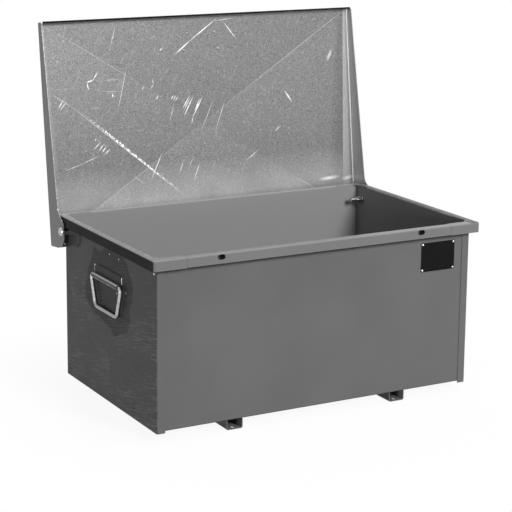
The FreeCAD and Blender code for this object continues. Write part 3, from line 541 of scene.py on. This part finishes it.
def edge_rubber(look):
    """Extruded black rubber, matt, with fine lines from the die along its length and dust in them."""
    finish, tree, coordinates = start_finish("Extruded black rubber")
    place = coordinates["Object"]
    lines = node(tree, "Mapping", {"Vector": place, "Scale": (250 * MM, 0.7 * MM, 0.7 * MM)},
                 vector_type="TEXTURE")["Vector"]
    drawn = node(tree, "TexNoise", {"Vector": lines, "Scale": 1.0, "Detail": 2.0})["Fac"]
    dust = node(tree, "TexNoise", {"Vector": place, "Scale": 1 / (25 * MM), "Detail": 5.0})["Fac"]
    dust = node(tree, "MapRange", {"Value": dust, "From Min": 0.5, "From Max": 0.8, "To Max": 0.15})["Result"]
    base = node(tree, "Mix", {0: dust, 6: look.rubber, 7: linear("#4a4a48")}, data_type="RGBA")[2]
    bump = node(tree, "Bump", {"Height": drawn, "Strength": 0.3, "Distance": 0.1 * MM})["Normal"]
    rough = node(tree, "MapRange", {"Value": dust, "To Min": 0.62, "To Max": 0.9})["Result"]
    end_finish(tree, {"Base Color": base, "Roughness": rough, "Normal": bump, "Specular IOR Level": 0.12})
    return finish


def anodised_plate(look):
    """Black anodised aluminium, satin from fine rolling lines, left bare."""
    finish, tree, coordinates = start_finish("Black anodised aluminium")
    place = coordinates["Object"]
    rolled = node(tree, "Mapping", {"Vector": place, "Scale": (30 * MM, 0.6 * MM, 0.6 * MM)},
                  vector_type="TEXTURE")["Vector"]
    lines = node(tree, "TexNoise", {"Vector": rolled, "Scale": 1.0, "Detail": 3.0})["Fac"]
    smears = node(tree, "TexNoise", {"Vector": place, "Scale": 1 / (18 * MM), "Detail": 3.0})["Fac"]
    base = node(tree, "Mix", {0: lines, 6: look.plate, 7: linear("#101010")}, data_type="RGBA")[2]
    rough = node(tree, "MapRange", {"Value": smears, "From Min": 0.3, "From Max": 0.7,
                 "To Min": 0.32, "To Max": 0.5})["Result"]
    bump = node(tree, "Bump", {"Height": lines, "Strength": 0.1, "Distance": 0.02 * MM})["Normal"]
    end_finish(tree, {"Base Color": base, "Roughness": rough, "Normal": bump, "Specular IOR Level": 0.08})
    return finish


class SITEBOX_OT_paint(bpy.types.Operator):
    """Powder coats the panels, rim corners, feet, hinge plates, straps and pull handle"""
    bl_idname = "site_box.paint"
    bl_label = "Powder Coat"

    def execute(self, context):
        names = ["front_panel", "rear_panel", "floor_panel", "lid_pull_handle"]
        for side in SIDES:
            names += [side + tail for tail in
                      ("_side_panel", "_foot_channel", "_hinge_plate", "_handle_strap")]
            names += [end + "_" + side + "_rim_corner" for end in ("front", "rear")]
        dress(names, powder_coat(context.scene.site_box_finish))
        return {"FINISHED"}


class SITEBOX_OT_lid(bpy.types.Operator):
    """Finishes the bare galvanised lid and its rubber edge trim"""
    bl_idname = "site_box.lid"
    bl_label = "Lid Sheet and Trim"

    def execute(self, context):
        look = context.scene.site_box_finish
        dress(["lid_panel"], lid_sheet(look))
        dress(["lid_edge_trim"], edge_rubber(look))
        return {"FINISHED"}


class SITEBOX_OT_hardware(bpy.types.Operator):
    """Finishes the drop handles, pivot bolts, rivets and the bare rating plate"""
    bl_idname = "site_box.hardware"
    bl_label = "Hardware"

    def execute(self, context):
        look = context.scene.site_box_finish
        names = ["lid_handle_rivets", "rating_plate_rivets"]
        for side in SIDES:
            names += [side + tail for tail in
                      ("_pivot_bolt", "_pivot_spacer", "_pivot_washer", "_pivot_nut", "_handle_bail")]
        dress(names, zinc_plating(look))
        dress(["rating_plate"], anodised_plate(look))
        return {"FINISHED"}


def own_copy(piece, name, move):
    """A copy of a piece with its own mesh, moved by a matrix."""
    copy = piece.copy()
    copy.data = piece.data.copy()
    copy.data.transform(move)
    copy.name = name
    bpy.context.collection.objects.link(copy)
    return copy


def select_faces(piece, wanted):
    """Opens a piece in edit mode with only the wanted faces selected."""
    bpy.ops.object.mode_set(mode="EDIT")
    bpy.ops.mesh.select_mode(type="FACE")
    bpy.ops.mesh.select_all(action="DESELECT")
    bpy.ops.object.mode_set(mode="OBJECT")
    for face in piece.data.polygons:
        face.select = wanted(face)
    bpy.ops.object.mode_set(mode="EDIT")


def fix_to_box(piece):
    """Lets a closed piece of plated steel ride on the box, and stops the script if it isn't closed."""
    shell = bmesh.new()
    shell.from_mesh(piece.data)
    closed = all(edge.is_manifold for edge in shell.edges) and shell.calc_volume(signed=True) > 0
    shell.free()
    if not closed:
        raise RuntimeError(piece.name + " is open or inside out")
    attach(piece, "box")


class SITEBOX_OT_threads(bpy.types.Operator):
    """Winds the thread that shows on each pivot bolt's inner end"""
    bl_idname = "site_box.threads"
    bl_label = "Bolt Threads"

    def execute(self, context):
        look = context.scene.site_box_finish
        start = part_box("right_pivot_bolt")[0][0] + look.thread_pitch
        turns = int((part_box("right_pivot_nut")[0][0] - start) / look.thread_pitch)
        if turns < 1:
            raise RuntimeError("No room for a thread behind the nut")
        bpy.ops.object.select_all(action="DESELECT")
        bpy.ops.mesh.primitive_circle_add(vertices=4, radius=look.thread_height,
                                          location=(start, LID_PIVOT.y, LID_PIVOT.z))
        thread = context.object
        bpy.ops.object.mode_set(mode="EDIT")
        bpy.ops.mesh.select_all(action="SELECT")
        bpy.ops.transform.rotate(value=math.pi / 2, orient_axis="X", center_override=thread.location)
        bpy.ops.transform.translate(value=(0.0, 0.0, BOLT_RADIUS))
        bpy.ops.object.mode_set(mode="OBJECT")
        winding = thread.modifiers.new("winding", "SCREW")
        winding.axis = "X"
        winding.screw_offset = look.thread_pitch
        winding.iterations = turns
        winding.steps = winding.render_steps = STEPS_PER_TURN
        bpy.ops.object.modifier_apply(modifier=winding.name)
        bpy.ops.object.mode_set(mode="EDIT")
        bpy.ops.mesh.select_all(action="SELECT")
        bpy.ops.mesh.fill_holes(sides=4)
        bpy.ops.mesh.normals_make_consistent(inside=False)
        bpy.ops.object.mode_set(mode="OBJECT")
        bpy.ops.object.transform_apply(location=True, rotation=True, scale=True)
        thread.name = "right_bolt_thread"
        thread.data.materials.append(bpy.data.materials["Bright zinc plate"])
        # Turned half round about the upright through the pivot's line, so that it stays right-handed
        turn = Matrix.Translation((0.0, 2 * LID_PIVOT.y, 0.0)) @ Matrix.Rotation(math.pi, 4, "Z")
        for piece in (thread, own_copy(thread, "left_bolt_thread", turn)):
            fix_to_box(piece)
        return {"FINISHED"}


# Weld spots on the right end of the box: place along it and up, in mm, and width as a share
# The left end has the same spots, turned half round, so its front is the right end's rear
WELDS = ((5.6, 407.7, 0.7), (61.9, 407.4, 0.8), (101.6, 330.0, 0.7), (48.7, 318.1, 0.8),
         (-262.0, 416.5, 1.5), (262.0, 416.5, 1.5))
# Weld beads beside the handle straps, their height above the eye, and how far they stand off the wall
BEAD_RADIUS = 1.7 * MM
BEAD_LENGTH = 17 * MM
BEAD_RISE = 17 * MM
BEAD_STAND = 0.6 * BEAD_RADIUS
WELD_SIDES = 14


def weld_spot(width):
    """A low domed spot that looks along X, at the origin."""
    bpy.ops.object.select_all(action="DESELECT")
    bpy.ops.mesh.primitive_cylinder_add(
        vertices=WELD_SIDES, radius=width / 2, depth=0.16 * width, rotation=(0.0, math.pi / 2, 0.0))
    bpy.ops.object.transform_apply(location=True, rotation=True, scale=True)
    spot = bpy.context.object
    select_faces(spot, lambda face: face.normal.x > 0.9)
    bpy.ops.mesh.inset(thickness=0.13 * width, depth=0.1 * width)
    bpy.ops.mesh.inset(thickness=0.2 * width, depth=0.06 * width)
    bpy.ops.object.mode_set(mode="OBJECT")
    bpy.ops.object.shade_smooth()
    return spot


def weld_bead():
    """An upright bead with domed ends, at the origin."""
    bpy.ops.object.select_all(action="DESELECT")
    bpy.ops.mesh.primitive_cylinder_add(vertices=WELD_SIDES, radius=BEAD_RADIUS, depth=BEAD_LENGTH)
    bead = bpy.context.object
    select_faces(bead, lambda face: abs(face.normal.z) > 0.9)
    bpy.ops.mesh.inset(thickness=0.3 * BEAD_RADIUS, depth=0.5 * BEAD_RADIUS)
    bpy.ops.mesh.inset(thickness=0.4 * BEAD_RADIUS, depth=0.2 * BEAD_RADIUS)
    bpy.ops.object.mode_set(mode="OBJECT")
    bpy.ops.object.shade_smooth()
    return bead


class SITEBOX_OT_welds(bpy.types.Operator):
    """Raises the small weld spots under the rim, and the spots and beads beside the handles"""
    bl_idname = "site_box.welds"
    bl_label = "Weld Spots"

    def execute(self, context):
        spot = weld_spot(context.scene.site_box_finish.weld_width)
        bead = weld_bead()
        marks = []
        for along, up, size in WELDS:
            move = Matrix.Translation((WALL, along * MM, up * MM)) @ Matrix.Scale(size, 4)
            marks.append(own_copy(spot, "weld_spot", move))
        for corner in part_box("right_handle_strap"):
            place = (WALL + BEAD_STAND, corner[1], EYE.z + BEAD_RISE)
            marks.append(own_copy(bead, "weld_bead", Matrix.Translation(place)))
        # A pattern goes when its mesh does
        for pattern in (spot, bead):
            bpy.data.meshes.remove(pattern.data)
        bpy.ops.object.select_all(action="DESELECT")
        for mark in marks:
            mark.select_set(True)
        welds = marks[0]
        context.view_layer.objects.active = welds
        bpy.ops.object.join()
        welds.name = "right_weld_spots"
        # Zinc-rich touch-up paint keeps the welds bright
        welds.data.materials.clear()
        welds.data.materials.append(bpy.data.materials["Bright zinc plate"])
        for piece in (welds, own_copy(welds, "left_weld_spots", Matrix.Rotation(math.pi, 4, "Z"))):
            fix_to_box(piece)
        return {"FINISHED"}


# Soft lamps: name, place and width in metres, and the property that holds their power
# The low side lamps light the ends of the box without reaching over the rim
LAMPS = (
    ("main_lamp", (1.3, -6.3, 3.8), 2.0, "main_power"),
    ("left_lamp", (-4.5, -2.8, 0.4), 1.0, "side_power"),
    ("right_lamp", (4.5, -2.8, 0.4), 1.0, "side_power"),
    ("top_lamp", (0.6, -0.8, 5.5), 1.5, "top_power"),
    ("rear_lamp", (1.5, 4.5, 1.2), 2.0, "rear_power"),
)
LAMP_AIM = Vector((0.0, 0.0, 0.4))
# The photo's viewing angle
CAMERA_PLACE = (-2.1813, -3.8702, 1.4462)
CAMERA_YAW, CAMERA_PITCH, CAMERA_ROLL = 0.507, 0.2129, 0.0095
CAMERA_SHIFT = -0.0977
# The floor turns plain white between these distances from its middle, in metres, and is nearly so before
SHADOW_START, SHADOW_END = 0.5, 0.9
NEARLY_WHITE = 0.93
# It lies just under the feet
FLOOR_DROP = 0.5 * MM


def seen_share(tree):
    """One for rays from the camera, a mirror or glass, and zero for the light's own bounces."""
    path = node(tree, "LightPath")
    seen = node(tree, "Math", {0: path["Is Camera Ray"], 1: path["Is Glossy Ray"]}, operation="MAXIMUM")[0]
    return node(tree, "Math", {0: seen, 1: path["Is Transmission Ray"]}, operation="MAXIMUM")[0]


def studio_floor():
    """Seamless white paper, which shows white and keeps the box's soft shadow."""
    finish, tree, coordinates = start_finish("Seamless white paper")
    finish.cycles.emission_sampling = "NONE"
    dim = node(tree, "BsdfDiffuse", {"Color": (0.1, 0.1, 0.1, 1.0)})["BSDF"]
    paper = node(tree, "BsdfDiffuse", {"Color": (0.9, 0.9, 0.9, 1.0)})["BSDF"]
    glow = node(tree, "Emission", {"Color": (1.0, 1.0, 1.0, 1.0), "Strength": 1.0})["Emission"]
    away = node(tree, "VectorMath", {0: coordinates["Object"]}, operation="LENGTH")["Value"]
    away = node(tree, "MapRange", {"Value": away, "From Min": SHADOW_START, "From Max": SHADOW_END,
                "To Min": NEARLY_WHITE})["Result"]
    white = node(tree, "MixShader", {0: away, 1: paper, 2: glow})["Shader"]
    both = node(tree, "MixShader", {0: seen_share(tree), 1: dim, 2: white})["Shader"]
    node(tree, "OutputMaterial", {"Surface": both})
    return finish


def studio_world(ambient):
    """A room that shows white and gives back a little light."""
    world = bpy.data.worlds.new("White studio")
    world.use_nodes = True
    tree = world.node_tree
    tree.nodes.clear()
    dim = (ambient, ambient, ambient, 1.0)
    tone = node(tree, "Mix", {0: seen_share(tree), 6: dim, 7: (1.0, 1.0, 1.0, 1.0)}, data_type="RGBA")[2]
    sky = node(tree, "Background", {"Color": tone, "Strength": 1.0})["Background"]
    node(tree, "OutputWorld", {"Surface": sky})
    return world


def lamp(name, place, size, watts):
    """A square soft lamp at a place, turned to the box."""
    bpy.ops.object.light_add(type="AREA", location=place)
    made = bpy.context.object
    made.name = name
    made.data.size = size
    made.data.energy = watts
    made.rotation_euler = (LAMP_AIM - Vector(place)).to_track_quat("-Z", "Y").to_euler()


def photo_camera(lens):
    """A camera at the photo's place, turned by yaw, pitch and roll."""
    level = math.cos(CAMERA_PITCH)
    ahead = Vector((math.sin(CAMERA_YAW) * level, math.cos(CAMERA_YAW) * level, -math.sin(CAMERA_PITCH)))
    right = Vector((math.cos(CAMERA_YAW), -math.sin(CAMERA_YAW), 0.0))
    up = right.cross(ahead)
    turned = math.cos(CAMERA_ROLL) * right + math.sin(CAMERA_ROLL) * up
    upright = -math.sin(CAMERA_ROLL) * right + math.cos(CAMERA_ROLL) * up
    bpy.ops.object.camera_add(location=CAMERA_PLACE)
    camera = bpy.context.object
    camera.name = "photo_camera"
    camera.rotation_euler = Matrix((turned, upright, -ahead)).transposed().to_euler()
    camera.data.sensor_width = 36.0
    camera.data.lens = lens
    camera.data.shift_y = CAMERA_SHIFT
    camera.data.clip_end = 200.0
    return camera


class SITEBOX_OT_stage(bpy.types.Operator):
    """Sets the pale floor, the soft lamps, the room light and the camera"""
    bl_idname = "site_box.stage"
    bl_label = "Floor, Light and Camera"

    def execute(self, context):
        scene = context.scene
        look = scene.site_box_stage
        bpy.ops.object.select_all(action="DESELECT")
        bpy.ops.mesh.primitive_plane_add(size=2 * look.floor_half, location=(0.0, 0.0, -FLOOR_DROP))
        floor = context.object
        floor.name = "studio_floor"
        floor.data.materials.append(studio_floor())
        for name, place, size, watts in LAMPS:
            lamp(name, place, size, getattr(look, watts))
        scene.world = studio_world(look.ambient)
        scene.camera = photo_camera(look.lens)
        scene.view_settings.view_transform = "Standard"
        return {"FINISHED"}


STEPS = (SITEBOX_OT_paint, SITEBOX_OT_lid, SITEBOX_OT_hardware, SITEBOX_OT_threads, SITEBOX_OT_welds,
         SITEBOX_OT_stage)


class SITEBOX_PT_panel(bpy.types.Panel):
    """Lists the sizes, the colours and the steps that finish the site box"""
    bl_label = "Site Box"
    bl_idname = "SITEBOX_PT_panel"
    bl_space_type = "VIEW_3D"
    bl_region_type = "UI"
    bl_category = "Site Box"

    def draw(self, context):
        for group in (context.scene.site_box_finish, context.scene.site_box_stage):
            for name in group.__annotations__:
                self.layout.prop(group, name)
        for step in STEPS:
            self.layout.operator(step.bl_idname)


CLASSES = (SiteBoxFinish, SiteBoxStage) + STEPS + (SITEBOX_PT_panel,)


def register():
    for each in CLASSES:
        bpy.utils.register_class(each)
    bpy.types.Scene.site_box_finish = bpy.props.PointerProperty(type=SiteBoxFinish)
    bpy.types.Scene.site_box_stage = bpy.props.PointerProperty(type=SiteBoxStage)


def unregister():
    del bpy.types.Scene.site_box_stage
    del bpy.types.Scene.site_box_finish
    for each in reversed(CLASSES):
        bpy.utils.unregister_class(each)


def main():
    register()
    bpy.ops.site_box.paint()
    bpy.ops.site_box.lid()
    bpy.ops.site_box.hardware()
    bpy.ops.site_box.threads()
    bpy.ops.site_box.welds()
    bpy.ops.site_box.stage()


if __name__ == "__main__":
    main()
